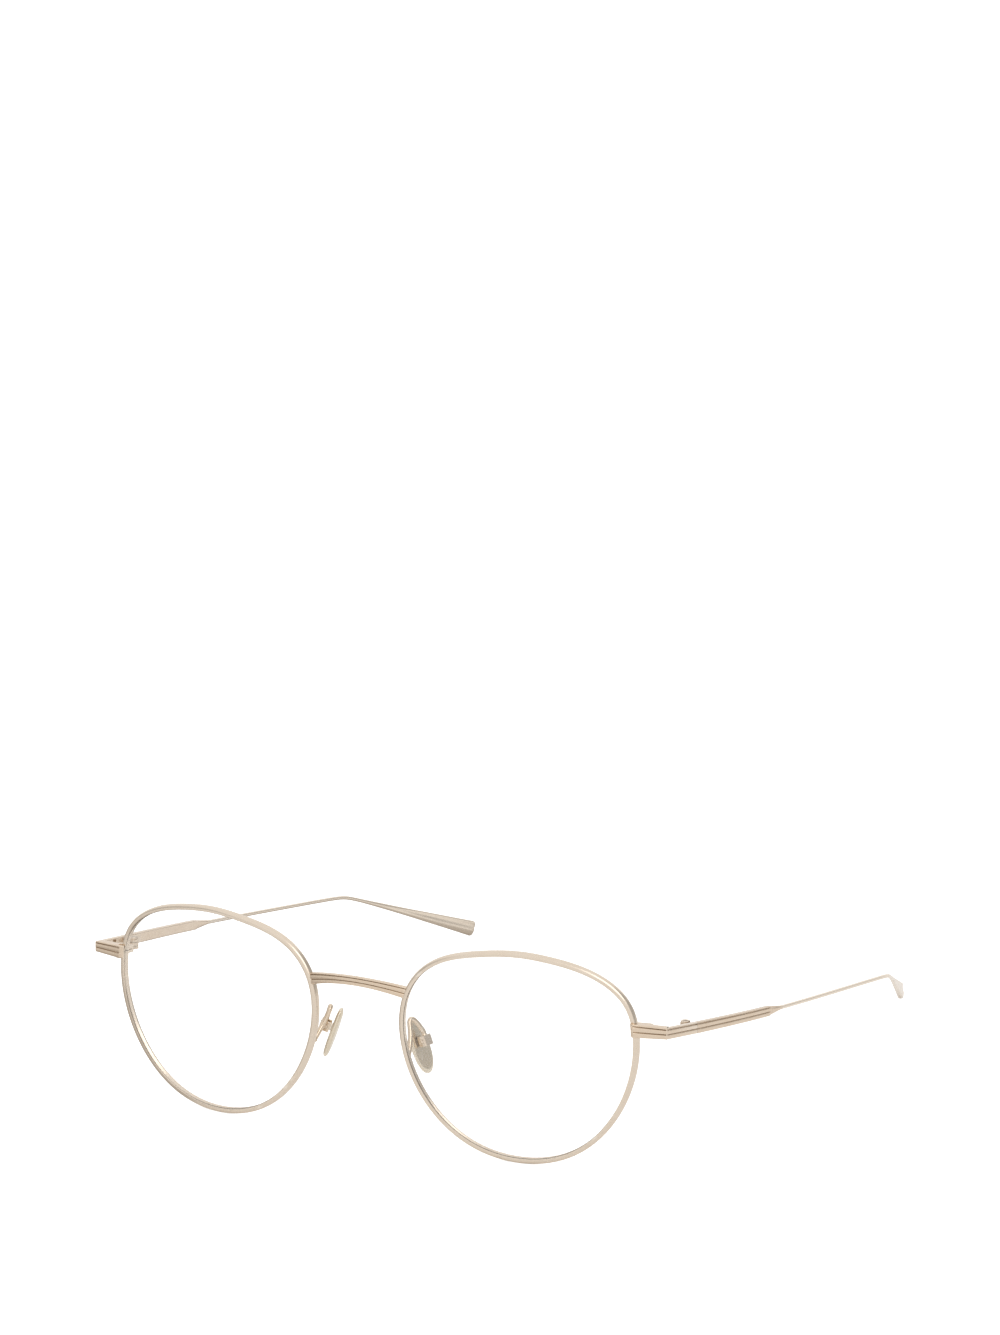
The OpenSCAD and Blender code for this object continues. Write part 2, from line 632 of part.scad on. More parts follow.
bridge();
rim(1);  // rim_left
rim(-1);  // rim_right
lens(1);  // lens_left
lens(-1);  // lens_right
end_piece(1);  // end_piece_left
end_piece(-1);  // end_piece_right
rim_lock(1, 1);  // rim_lock_upper_left
rim_lock(-1, 1);  // rim_lock_upper_right
rim_lock(1, -1);  // rim_lock_lower_left
rim_lock(-1, -1);  // rim_lock_lower_right
rim_screw(1);  // rim_screw_left
rim_screw(-1);  // rim_screw_right
hinge_front(1);  // hinge_front_left
hinge_front(-1);  // hinge_front_right
hinge_temple(1);  // hinge_temple_left
hinge_temple(-1);  // hinge_temple_right
hinge_screw(1);  // hinge_screw_left
hinge_screw(-1);  // hinge_screw_right
temple(1);  // temple_left
temple(-1);  // temple_right
pad_arm(1);  // pad_arm_left
pad_arm(-1);  // pad_arm_right
pad_box(1);  // pad_box_left
pad_box(-1);  // pad_box_right
pad_screw(1);  // pad_screw_left
pad_screw(-1);  // pad_screw_right
nose_pad(1);  // nose_pad_left
nose_pad(-1);  // nose_pad_right
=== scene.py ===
import math

import bmesh
import bpy
import numpy as np
from mathutils import Matrix, Vector


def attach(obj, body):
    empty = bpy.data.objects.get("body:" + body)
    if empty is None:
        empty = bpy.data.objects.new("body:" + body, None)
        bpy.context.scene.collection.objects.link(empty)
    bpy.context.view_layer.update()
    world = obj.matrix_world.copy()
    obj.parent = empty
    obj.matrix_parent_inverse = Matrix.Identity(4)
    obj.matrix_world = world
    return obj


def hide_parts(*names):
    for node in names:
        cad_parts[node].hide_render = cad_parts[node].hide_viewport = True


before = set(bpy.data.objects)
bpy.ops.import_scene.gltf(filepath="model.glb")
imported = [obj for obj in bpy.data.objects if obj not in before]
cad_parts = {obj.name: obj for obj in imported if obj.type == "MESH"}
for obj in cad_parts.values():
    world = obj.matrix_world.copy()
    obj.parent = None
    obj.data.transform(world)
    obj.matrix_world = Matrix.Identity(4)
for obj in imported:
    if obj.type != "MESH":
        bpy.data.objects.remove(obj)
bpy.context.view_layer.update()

# Round wire-rimmed eyeglasses: sizes are in millimetres, and +X is the wearer's left
MM = 0.001

# Lens outline
EYE_W, EYE_H = 50.6, 43.8
LENS_PITCH = 72
PANTO, SHOULDER, SQUARENESS, CROWN, NASAL = 1.13, 0.24, 0.24, 0.13, 0.1
BULGE, BULGE_TH, BULGE_POWER = 0.4, 28, 40
WRAP, LEAN = 6.5, 1.5

# Lenses and rims; the rims' front chamfer is wider here than on the CAD rims, which have 0.3
BASE_R = 124
LENS_T = 1.1
LENS_PLAY = 0.06
RIM_W, RIM_D = 1.1, 1.65
GROOVE_D, GROOVE_W = 0.45, 1.0
RIM_CUT, FRONT_CUT = 0.3, 0.45
SLIT = 0.14

# Bridge
BRIDGE_UP, BRIDGE_ARCH, BRIDGE_BOW = 9.9, 1.5, 2
BRIDGE_MID_H, BRIDGE_END_H, BRIDGE_T = 1.9, 2.5, 1.3
BRAZE = 0.2

# End pieces
LUG_Z, LUG_L, LUG_SIDE_L = 31.1, 6.7, 11.8
LUG_RIM_H, LUG_H = 2.8, 2.4
LUG_FRONT_T, LUG_YAW, LUG_PROUD = 2.1, 12, 1
LUG_LAP, LUG_BEVEL, LUG_END_T, LUG_GAP = 1, 0.6, 0.3, 0.1
HINGE_GAP = 0.05

# Temples
TEMPLE_REACH, BEAM_L, BEAM_TAPER, CURVE_L = 144.1, 42.5, 6, 38
BEAM_T, BEAM_END_H, WIRE_D = 1.2, 2.15, 0.9
EAR_L, TIP_H, TIP_T = 106.6, 3.8, 1.7
BEAM_OUT, WIRE_IN, TIP_IN = 0.094, 0.028, 0.363
BEAM_DOWN, WIRE_DOWN = 0.137, 0.131
CURVE_SOFT, EAR_SOFT = 22, 2.5

# Nose pads
ARM_D = 1.05
PAD_L, PAD_W, PAD_T = 11.8, 4.8, 1.2
PAD_X, PAD_Y, PAD_Z = 10.3, 7, 19.9
PAD_FLARE, PAD_SPLAY = 21, 17
PAD_STAND, PAD_SCREW_UP = 2, 0.9
PAD_EGG, TAB_SUNK = 0.12, 0.25
TAB_T, TAB_R = 0.8, 0.7
BORE_D = 0.98
BOX_L = 2.2
ARM_BACK, ARM_UP, ARM_X = 4.7, 6.2, 9.5
ARM_TH, ARM_SWELL = 188, 0.3

# Softened edges of the small parts
SOFT_EDGE, FINE_EDGE = 0.05, 0.03
WELD_WITHIN, EDGE_ANGLE = 0.002, 40

# Satin metal, with scales in features per millimetre, and reach and depth in millimetres
PATCH_SCALE, RUB_SCALE, GRAIN_SCALE = 0.25, 0.8, 12
# Sharp edges are lightened partly as wear and partly as a painted highlight
WORN_AND_HIGHLIT_SHARE, CREVICE_SHADE_SHARE = 0.8, 0.75
# Painted shade in crevices: how far the metal shades itself, and the dark colour put there
CREVICE_SHADE_REACH, CREVICE_SHADE_COLOUR = 0.5, (0.3, 0.22, 0.15)
LESS_ROUGH, MORE_ROUGH = 0.04, 0.05
GRAIN_STRENGTH, GRAIN_DEPTH = 0.12, 0.01

# Studio, with places and sizes in metres, and left and right as the camera sees them; a darker
# part of the world is a direction, the cosines of the angles to it where it starts and is full,
# and its shade
FLOOR_HALF, FLOOR_GLOW, FLOOR_MIRRORED = 3.0, 0.7, 0.1
# Painted shade on the floor, seen only in reflections
REFLECTED_FLOOR_SHADE = (0.5, 0.48, 0.46)
REFLECTED_FLOOR_SHADE_X, REFLECTED_FLOOR_SHADE_Y = (-0.052, -0.036), (-0.15, -0.12)
WORLD_LIGHT = 0.85
DARK_LEFT = ((-0.9, -0.44, 0), 0.8, 0.95, 0.6)
DARK_RIGHT = ((0.92, 0.38, 0), 0.5, 0.7, 0.5)
LAMP_PLACE, LAMP_TARGET, LAMP_SIZE, LAMP_POWER = (0.75, -0.75, 0.95), (0, 0, 0.02), 1.0, 2.8

# Camera, in the frame of the part
CAM_AZIMUTH, CAM_ELEVATION = 28.60, 12.23
CAM_DISTANCE = 972.45
CAM_RIGHT, CAM_UP = 28.86, 97.88
CAM_TARGET = (0, -73.4973, -0.3)
CAM_LENS = 126.99

SIDES = ((1, "left"), (-1, "right"))


def unit(v):
    return v / np.linalg.norm(v, axis=-1, keepdims=True)


def turned(points, degrees):
    """Points turned round Z."""
    c, s = math.cos(math.radians(degrees)), math.sin(math.radians(degrees))
    return points @ np.array([[c, s, 0], [-s, c, 0], [0, 0, 1]])


def tilted(points, degrees):
    """Points turned round X."""
    c, s = math.cos(math.radians(degrees)), math.sin(math.radians(degrees))
    return points @ np.array([[1, 0, 0], [0, c, s], [0, -s, c]])


def blend(s, start, end):
    return np.clip((s - start) / (end - start), 0, 1)


def eased(s, start, end):
    u = blend(s, start, end)
    return u * u * (3 - 2 * u)


# The lens outline and the front
MEAN_R = (EYE_W + EYE_H) / 4 + SQUARENESS
OVAL = (EYE_W - EYE_H) / 4 + SHOULDER / 2


def outline_r(th):
    """Distance of the rim's centre line from the lens centre; 0 degrees is outwards."""
    a = np.radians(th)
    return (
        MEAN_R + OVAL * np.cos(2 * a) - SQUARENESS * np.cos(4 * a) + PANTO * np.sin(3 * a)
        - SHOULDER * np.cos(6 * a) * (1 + np.sin(a)) / 2 + CROWN * np.sin(5 * a) - NASAL * np.cos(3 * a)
        + BULGE * np.maximum(0, np.cos(a - math.radians(BULGE_TH))) ** BULGE_POWER
    )


def outline_p(th):
    r, a = outline_r(th), np.radians(th)
    return np.stack([r * np.cos(a), r * np.sin(a)], -1)


def rim_points(th, across, back):
    """Points of the rim in the lens frame: across is outwards from the centre line."""
    th, across, back = np.broadcast_arrays(np.asarray(th, float), across, back)
    p, q = outline_p(th), outline_p(th + 0.5) - outline_p(th - 0.5)
    out = unit(np.stack([q[..., 1], 0 * th, -q[..., 0]], -1))
    dish = (p ** 2).sum(-1) / (2 * BASE_R)
    return np.stack([p[..., 0], dish + back, p[..., 1]], -1) + across[..., None] * out


LOW_R = float(outline_r(270))
LOW_DISH = LOW_R ** 2 / (2 * BASE_R) - RIM_D / 2 + RIM_CUT
LENS_Z = (LOW_R + RIM_W / 2) * math.cos(math.radians(LEAN)) - LOW_DISH * math.sin(math.radians(LEAN))


def to_front(points):
    """From the lens frame to the frame of the whole front."""
    return turned(tilted(points, LEAN), WRAP) + [LENS_PITCH / 2, 0, LENS_Z]


def angle_at(up):
    first = math.degrees(math.asin(up / (EYE_W / 2)))
    return math.degrees(math.asin(up / float(outline_r(first))))


SPLIT_TH = angle_at((LUG_Z - LENS_Z) / math.cos(math.radians(LEAN)))
RIM_EDGE = to_front(rim_points(SPLIT_TH, RIM_W / 2, -RIM_D / 2))
LUG_DIR = np.array([math.cos(math.radians(LUG_YAW)), math.sin(math.radians(LUG_YAW)), 0])
LUG_START = np.array([RIM_EDGE[0], RIM_EDGE[1] - LUG_PROUD, LUG_Z])
CORNER = LUG_START + LUG_L * LUG_DIR

BRIDGE_END = to_front(rim_points(180 - angle_at(BRIDGE_UP), RIM_W / 2 - BRAZE, 0))
TIP_SLOPE_GUESS = math.radians(22)
FRONT_Y = BRIDGE_END[1] - BRIDGE_BOW - BRIDGE_T / 2
BACK_Y = CORNER[1] + TEMPLE_REACH + TIP_H / 2 * math.sin(TIP_SLOPE_GUESS)
MIDDLE_Y = (FRONT_Y + BACK_Y) / 2


# The temple's centre line against the depth behind the corner
def soft(d, k):
    return (d + np.sqrt(d * d + k * k)) / 2


NO_DROP_Z = (
    LUG_Z - BEAM_DOWN * TEMPLE_REACH - (WIRE_DOWN - BEAM_DOWN) * soft(TEMPLE_REACH - CURVE_L, CURVE_SOFT)
)
TIP_DOWN = (NO_DROP_Z - TIP_H / 2 * math.cos(TIP_SLOPE_GUESS)) / soft(TEMPLE_REACH - EAR_L, EAR_SOFT)


def temple_p(s):
    s = np.asarray(s, float)
    curve = soft(s - CURVE_L, CURVE_SOFT) - soft(-CURVE_L, CURVE_SOFT)
    ear = soft(s - EAR_L, EAR_SOFT)
    x = CORNER[0] - BEAM_T / 2 + BEAM_OUT * s - (WIRE_IN + BEAM_OUT) * curve - (TIP_IN - WIRE_IN) * ear
    z = LUG_Z - BEAM_DOWN * s - (WIRE_DOWN - BEAM_DOWN) * curve - TIP_DOWN * ear
    return np.stack([x, CORNER[1] + s, z], -1)


JOINT_S = LUG_SIDE_L
JOINT_P = temple_p(JOINT_S)
SIDE_YAW = -math.degrees(math.atan((JOINT_P[0] - temple_p(0)[0]) / JOINT_S))


# Sections of bars, 16 corners in one order
GROOVE = 0.2
UPPER_GROOVE, LOWER_GROOVE = 0.34, -0.07


def grooved(g):
    up, low = UPPER_GROOVE, LOWER_GROOVE
    return np.array([
        [0.36, -0.5], [0.5, -0.42], [0.5, low - 0.06], [0.5 - g, low], [0.5, low + 0.06],
        [0.5, up - 0.06], [0.5 - g, up], [0.5, up + 0.06], [0.5, 0.45], [0.4, 0.5], [-0.36, 0.5],
        [-0.5, 0.42], [-0.5, 0.14], [-0.5, -0.14], [-0.5, -0.42], [-0.36, -0.5],
    ])


ROUND = 0.5 * np.array([[math.cos(a), math.sin(a)] for a in np.radians(22.5 * (np.arange(16) - 4.5))])
# The ear tip: each face has a ridge under its middle and a shallow flute over it
FLUTED = np.array([
    [0.3, -0.5], [0.45, -0.4], [0.5, -0.24], [0.5, -0.12], [0.46, -0.04], [0.36, 0.08],
    [0.33, 0.2], [0.35, 0.32], [0.36, 0.42], [0.26, 0.5], [-0.26, 0.5], [-0.36, 0.42],
    [-0.33, 0.2], [-0.46, -0.04], [-0.5, -0.24], [-0.3, -0.5],
])


def softened(corners, reach, steps=4):
    """A closed outline with each corner turned into a short curve; reach is a share of the edges."""
    before = corners + np.roll(corners, 1, 0)
    after = corners + np.roll(corners, -1, 0)
    reach = np.broadcast_to(np.asarray(reach, float), len(corners))[:, None]
    start = corners + reach * (before / 2 - corners)
    end = corners + reach * (after / 2 - corners)
    u = np.linspace(0, 1, steps)[None, :, None]
    rounded = (1 - u) ** 2 * start[:, None] + 2 * u * (1 - u) * corners[:, None] + u ** 2 * end[:, None]
    return rounded.reshape(-1, 2)


# Meshes
def skin(rings):
    """One skin over rings of points, with a fan over each end."""
    n, m = rings.shape[:2]
    i, j = np.meshgrid(np.arange(n - 1), np.arange(m), indexing="ij")
    a, b = i * m + j, i * m + (j + 1) % m
    faces = np.stack([a, b, b + m, a + m], -1).reshape(-1, 4).tolist()
    points = np.vstack([rings.reshape(-1, 3), rings[0].mean(0), rings[-1].mean(0)])
    faces += [[(k + 1) % m, k, n * m] for k in range(m)]
    last = (n - 1) * m
    faces += [[last + k, last + (k + 1) % m, n * m + 1] for k in range(m)]
    return points, faces


def placed(points, side):
    return (points - [0, MIDDLE_Y, 0]) * [side, 1, 1]


def make(name, skins, body, material, node, sharp=38):
    """A piece from one or more skins, riding on its body in place of a CAD node.

    Edges that turn by more than sharp degrees are shaded sharp.
    """
    points, faces, count = [], [], 0
    for p, f in skins:
        points.append(p)
        faces += [[k + count for k in face] for face in f]
        count += len(p)
    mesh = bpy.data.meshes.new(name)
    mesh.from_pydata((np.vstack(points) * MM).tolist(), [], faces)
    mesh.validate()
    piece = bpy.data.objects.new(name, mesh)
    bpy.context.collection.objects.link(piece)
    outwards(mesh)
    mesh.shade_smooth()
    mesh.set_sharp_from_angle(angle=math.radians(sharp))
    mesh.materials.append(material)
    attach(piece, body)
    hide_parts(node)
    return piece


def outwards(mesh):
    """Turns every face of a mesh of closed skins to the outside."""
    b = bmesh.new()
    b.from_mesh(mesh)
    bmesh.ops.recalc_face_normals(b, faces=b.faces)
    b.to_mesh(mesh)
    b.free()


# Materials
def new_material(name):
    material = bpy.data.materials.new(name)
    material.use_nodes = True
    tree = material.node_tree
    return material, tree, tree.nodes["Principled BSDF"]


def noise(tree, scale, detail=3):
    """Noise over the piece, with its scale in features per millimetre."""
    place = tree.nodes.new("ShaderNodeTexCoord")
    texture = tree.nodes.new("ShaderNodeTexNoise")
    texture.inputs["Scale"].default_value = scale / MM
    texture.inputs["Detail"].default_value = detail
    tree.links.new(place.outputs["Object"], texture.inputs["Vector"])
    return texture.outputs["Fac"]


def ranged(tree, value, low, high, to_low, to_high):
    node = tree.nodes.new("ShaderNodeMapRange")
    node.interpolation_type = "SMOOTHSTEP"
    for socket, number in zip(("From Min", "From Max", "To Min", "To Max"), (low, high, to_low, to_high)):
        node.inputs[socket].default_value = number
    tree.links.new(value, node.inputs["Value"])
    return node.outputs["Result"]


def mixed(tree, share, first, second):
    """Mix of two colours, each a colour or an output."""
    node = tree.nodes.new("ShaderNodeMix")
    node.data_type = "RGBA"
    tree.links.new(share, node.inputs["Factor"])
    for socket, colour in zip((node.inputs[6], node.inputs[7]), (first, second)):
        if isinstance(colour, bpy.types.NodeSocket):
            tree.links.new(colour, socket)
        else:
            socket.default_value = (*colour, 1)
    return node.outputs[2]


def satin_gold(name, colour, warm, worn_and_highlit, roughness):
    """Satin plated metal: soft colour patches, edges lighter as wear and painted highlight, painted shade in
    crevices, a fine grain.
    """
    material, tree, shader = new_material(name)
    shader.inputs["Metallic"].default_value = 1
    patches = mixed(tree, ranged(tree, noise(tree, PATCH_SCALE), 0.3, 0.7, 0, 1), colour, warm)
    # Sharp edges get a lighter colour: partly wear, partly a painted highlight
    edges = tree.nodes.new("ShaderNodeNewGeometry").outputs["Pointiness"]
    plated = mixed(tree, ranged(tree, edges, 0.52, 0.6, 0, WORN_AND_HIGHLIT_SHARE), patches, worn_and_highlit)
    # Painted shade: a dark colour is mixed in where the metal shades itself within the reach
    crevice_shade = tree.nodes.new("ShaderNodeAmbientOcclusion")
    crevice_shade.inputs["Distance"].default_value = CREVICE_SHADE_REACH * MM
    crevice_shade.only_local = True
    shade_depth = ranged(tree, crevice_shade.outputs["AO"], 0.35, 0.9, CREVICE_SHADE_SHARE, 0)
    tree.links.new(mixed(tree, shade_depth, plated, CREVICE_SHADE_COLOUR), shader.inputs["Base Color"])
    rub = ranged(tree, noise(tree, RUB_SCALE, 5), 0.3, 0.7, roughness - LESS_ROUGH, roughness + MORE_ROUGH)
    tree.links.new(rub, shader.inputs["Roughness"])
    grain = tree.nodes.new("ShaderNodeBump")
    grain.inputs["Strength"].default_value = GRAIN_STRENGTH
    grain.inputs["Distance"].default_value = GRAIN_DEPTH * MM
    tree.links.new(noise(tree, GRAIN_SCALE, 2), grain.inputs["Height"])
    tree.links.new(grain.outputs["Normal"], shader.inputs["Normal"])
    return material


def clear_lens(name, colour, alpha):
    """A clear coated lens, with the faintest smear in its polish."""
    material, tree, shader = new_material(name)
    shader.inputs["Base Color"].default_value = (*colour, 1)
    shader.inputs["Alpha"].default_value = alpha
    smear = ranged(tree, noise(tree, 0.12), 0.4, 0.8, 0.03, 0.08)
    tree.links.new(smear, shader.inputs["Roughness"])
    return material


gold = satin_gold("satin_gold", (0.745, 0.61, 0.475), (0.72, 0.58, 0.44), (0.86, 0.76, 0.64), 0.24)
rim_gold = satin_gold("rim_gold", (0.77, 0.665, 0.55), (0.75, 0.64, 0.52), (0.86, 0.77, 0.66), 0.24)
bright_gold = satin_gold("bright_gold", (0.76, 0.63, 0.49), (0.73, 0.6, 0.46), (0.86, 0.77, 0.66), 0.14)
fitting_gold = satin_gold("fitting_gold", (0.70, 0.57, 0.44), (0.66, 0.53, 0.40), (0.82, 0.72, 0.60), 0.27)
pad_gold = satin_gold("pad_gold", (0.76, 0.67, 0.53), (0.73, 0.64, 0.5), (0.88, 0.8, 0.69), 0.26)
glass = clear_lens("clear_lens", (1, 1, 1), 0.05)
# Painted shade for the front of the lens bevel
lens_bevel_shade = clear_lens("lens_bevel_shade", (0.12, 0.09, 0.06), 0.9)


# Rims and lenses
RIM_STEPS = 288
HALF_SLIT = math.degrees(math.asin(SLIT / 2 / MEAN_R))
RIM_TH = SPLIT_TH + HALF_SLIT + (360 - 2 * HALF_SLIT) * np.arange(RIM_STEPS + 1) / RIM_STEPS
RIM_CORNERS = np.array([
    [RIM_W / 2, -RIM_D / 2 + FRONT_CUT], [RIM_W / 2, RIM_D / 2 - RIM_CUT],
    [RIM_W / 2 - RIM_CUT, RIM_D / 2], [-RIM_W / 2, RIM_D / 2], [-RIM_W / 2, GROOVE_W / 2],
    [GROOVE_D - RIM_W / 2, 0], [-RIM_W / 2, -GROOVE_W / 2], [-RIM_W / 2, -RIM_D / 2],
    [RIM_W / 2 - FRONT_CUT, -RIM_D / 2],
])
RIM_SOFT = [0.8, 0.4, 0.5, 0.3, 0.3, 0.3, 0.3, 0.3, 0.9]


def make_rim(side, word):
    section = softened(RIM_CORNERS, RIM_SOFT)
    rings = rim_points(RIM_TH[:, None], section[None, :, 0], section[None, :, 1])
    skins = [skin(placed(to_front(rings), side))]
    make(f"rim_wire_{word}", skins, "front", rim_gold, f"rim_{word}")


EDGE_IN = -RIM_W / 2 - LENS_PLAY
BEVEL_IN = GROOVE_D - RIM_W / 2 - 2 * LENS_PLAY
BEVEL_W = GROOVE_W / 2 - LENS_PLAY


def make_lens(side, word):
    th = RIM_TH[:-1]
    edge = rim_points(th, EDGE_IN, 0)
    shares = np.linspace(0.03, 0.985, 16)
    face = np.array([edge * [k, k * k, k] for k in shares])
    across = [EDGE_IN, EDGE_IN, BEVEL_IN, EDGE_IN, EDGE_IN]
    back = [-LENS_T / 2, -BEVEL_W, 0, BEVEL_W, LENS_T / 2]
    sides = np.array([rim_points(th, a, b) for a, b in zip(across, back)])
    rings = np.concatenate([face - [0, LENS_T / 2, 0], sides, face[::-1] + [0, LENS_T / 2, 0]])
    skins = [skin(placed(to_front(rings), side))]
    lens = make(f"lens_glass_{word}", skins, "front", glass, f"lens_{word}", sharp=20)
    lens.visible_shadow = False
    # The front of the bevel is painted dark: a painted shade of the gap between the lens and the rim
    lens.data.materials.append(lens_bevel_shade)
    first = (len(shares) + 1) * len(th)
    for polygon in lens.data.polygons[first:first + len(th)]:
        polygon.material_index = 1


# The bridge
def bars(path, along, sections):
    """Rings of section points (outwards, up) along a path."""
    out = unit(np.cross(along, [0, 0, 1]))
    up = unit(np.cross(out, along))
    return path[:, None] + sections[..., :1] * out[:, None] + sections[..., 1:] * up[:, None]


BAR_SOFT = 0.62


def make_bridge():
    u = np.linspace(-1, 1, 81)
    path = np.stack([
        BRIDGE_END[0] * u, BRIDGE_END[1] - BRIDGE_BOW * (1 - u * u), BRIDGE_END[2] + BRIDGE_ARCH * (1 - u * u)
    ], -1)
    along = np.gradient(path, axis=0)
    height = BRIDGE_MID_H + (BRIDGE_END_H - BRIDGE_MID_H) * u * u
    section = softened(grooved(GROOVE), BAR_SOFT)
    sections = section[None] * np.stack([0 * u + BRIDGE_T, height], -1)[:, None]
    rings = bars(path, along, sections)
    make("bridge_bar", [skin(placed(rings, 1))], "front", gold, "bridge")


# End pieces
def yawed(degrees):
    return np.array([math.cos(math.radians(degrees)), math.sin(math.radians(degrees)), 0])


def lug_ring(place, height, inwards, slant, g):
    """One section of an end piece: inwards runs from its front face to its back."""
    section = softened(grooved(g), BAR_SOFT)
    down = section[:, 1:] * height
    return place + (0.5 - section[:, :1]) * inwards + down * [0, 0, 1] + slant * down * LUG_DIR


def make_end_piece(side, word):
    front = np.array([math.sin(math.radians(LUG_YAW)), -math.cos(math.radians(LUG_YAW)), 0])
    out = yawed(SIDE_YAW)
    c = front @ out
    mitre = -((LUG_FRONT_T - c * BEAM_T) * front + (BEAM_T - c * LUG_FRONT_T) * out) / (1 - c * c)
    inwards = -LUG_FRONT_T * front
    tangent = outline_p(SPLIT_TH + 0.5) - outline_p(SPLIT_TH - 0.5)
    slant = tangent[0] / tangent[1]
    side_dir = yawed(SIDE_YAW + 90)
    end = JOINT_P + BEAM_T / 2 * out
    edge = 0.16
    lap_t = LUG_PROUD - LUG_GAP
    lap = -lap_t * front
    end_place = LUG_START - LUG_LAP * LUG_DIR - (lap_t - LUG_END_T) * front
    bevel_end = LUG_START + (LUG_BEVEL - LUG_LAP) * LUG_DIR
    lap_end = LUG_START + (3 * LUG_GAP + abs(slant) * LUG_RIM_H / 2) * LUG_DIR
    thin, thick = GROOVE * BEAM_T / lap_t, GROOVE * BEAM_T / LUG_FRONT_T
    rings = np.array([
        lug_ring(end_place, LUG_RIM_H, -LUG_END_T * front, slant / 2, 0),
        lug_ring(bevel_end - 0.06 * LUG_DIR - 0.05 * front, LUG_RIM_H, lap + 0.05 * front, slant / 2, 0),
        lug_ring(bevel_end + 0.03 * LUG_DIR, LUG_RIM_H, lap, slant / 2, thin / 4),
        lug_ring(bevel_end + LUG_GAP * LUG_DIR, LUG_RIM_H, lap, slant / 2, thin),
        lug_ring(lap_end, LUG_RIM_H, lap, 0, thin),
        lug_ring(lap_end + LUG_GAP / 2 * LUG_DIR, LUG_RIM_H, inwards, 0, thick),
        lug_ring(CORNER - 2 * edge * LUG_DIR, LUG_H + 0.02, inwards, 0, GROOVE),
        lug_ring(CORNER - edge * LUG_DIR, LUG_H, 0.9 * inwards + 0.1 * mitre, 0, GROOVE / 4),
        lug_ring(CORNER + 0.03 * unit(mitre), LUG_H, 0.97 * mitre, 0, 0),
        lug_ring(CORNER + edge * side_dir, LUG_H, -0.9 * BEAM_T * out + 0.1 * mitre, 0, GROOVE / 4),
        lug_ring(CORNER + 2 * edge * side_dir, LUG_H, -BEAM_T * out, 0, GROOVE),
        lug_ring(end, LUG_H, -BEAM_T * out, 0, GROOVE),
    ])
    skins = [skin(placed(rings, side))]
    make(f"lug_{word}", skins, "front", gold, f"end_piece_{word}", sharp=30)


# Temples
WIRE_S = BEAM_L + BEAM_TAPER
TIP_S = EAR_L + 4
TIP_ROUND, TIP_POWER = 0.9, 1.25
FLUTE_S, FLUTE_FULL_S = TIP_S + 4, TEMPLE_REACH - 12


def temple_corners(s):
    to_wire, to_tip = blend(s, BEAM_L, WIRE_S), blend(s, TIP_S, TEMPLE_REACH) ** TIP_POWER
    w = BEAM_T + (WIRE_D - BEAM_T) * to_wire + (TIP_T - WIRE_D) * to_tip
    beam_h = LUG_H + (BEAM_END_H - LUG_H) * blend(s, JOINT_S, BEAM_L)
    h = beam_h + (WIRE_D - BEAM_END_H) * to_wire + (TIP_H - WIRE_D) * to_tip
    into_round = max(0, s - TEMPLE_REACH + TIP_ROUND) / TIP_ROUND
    close = math.sqrt(1 - into_round ** 2)
    flute = eased(s, FLUTE_S, FLUTE_FULL_S)
    corners = (1 - math.sqrt(to_wire)) * grooved(GROOVE) + math.sqrt(to_wire) * ROUND
    corners = (1 - flute) * corners + flute * FLUTED
    return softened(corners * [w * close, h * close], BAR_SOFT + (1 - BAR_SOFT) * to_wire)


def make_temple(side, word):
    s = np.concatenate([
        [JOINT_S + HINGE_GAP, JOINT_S + 0.2], np.linspace(JOINT_S + 1, BEAM_L - 1, 24),
        np.linspace(BEAM_L, WIRE_S + 1, 20), np.linspace(WIRE_S + 3, EAR_L - 8, 40),
        np.linspace(EAR_L - 7, TIP_S + 4, 40), np.linspace(TIP_S + 5, TEMPLE_REACH - TIP_ROUND, 30),
        TEMPLE_REACH - TIP_ROUND + TIP_ROUND * np.sin(np.radians([15, 30, 45, 60, 72, 82])),
    ])
    along = unit(temple_p(s + 0.1) - temple_p(s - 0.1))
    square = yawed(SIDE_YAW + 90)
    turn = eased(s, JOINT_S + 0.3, JOINT_S + 3)[:, None]
    along = (1 - turn) * square + turn * along
    sections = np.array([temple_corners(float(k)) for k in s])
    skins = [skin(placed(bars(temple_p(s), along, sections), side))]
    make(f"side_arm_{word}", skins, f"temple_{word}", gold, f"temple_{word}", sharp=32)


# Pad arms
def to_pad(points):
    """From the nose pad's frame to the frame of the whole front."""
    c, s = math.cos(math.radians(PAD_FLARE)), math.sin(math.radians(PAD_FLARE))
    q = turned(np.asarray(points, float), -PAD_SPLAY)
    return q @ np.array([[c, 0, s], [0, 1, 0], [-s, 0, c]]) + [PAD_X, PAD_Y, PAD_Z]


def smooth_path(points, per):
    """A smooth curve through the points."""
    p = np.vstack([points[:1], points, points[-1:]])
    a, b, c, d = p[:-3], p[1:-2], p[2:-1], p[3:]
    u = (np.arange(per) / per)[None, :, None]
    a, b, c, d = (k[:, None] for k in (a, b, c, d))
    curve = (
        b + u * (c - a) / 2 + u ** 2 * (2 * a - 5 * b + 4 * c - d) / 2
        + u ** 3 * (3 * b - a - 3 * c + d) / 2
    )
    return np.vstack([curve.reshape(-1, 3), points[-1:]])


def tube(path, diameters, sides=24):
    along = unit(np.gradient(path, axis=0))
    out = unit(np.cross(along, [1, 0, 0]))
    up = np.cross(out, along)
    a = (2 * np.pi * np.arange(sides) / sides)[None, :, None]
    return path[:, None] + diameters[:, None, None] / 2 * (np.cos(a) * out[:, None] + np.sin(a) * up[:, None])


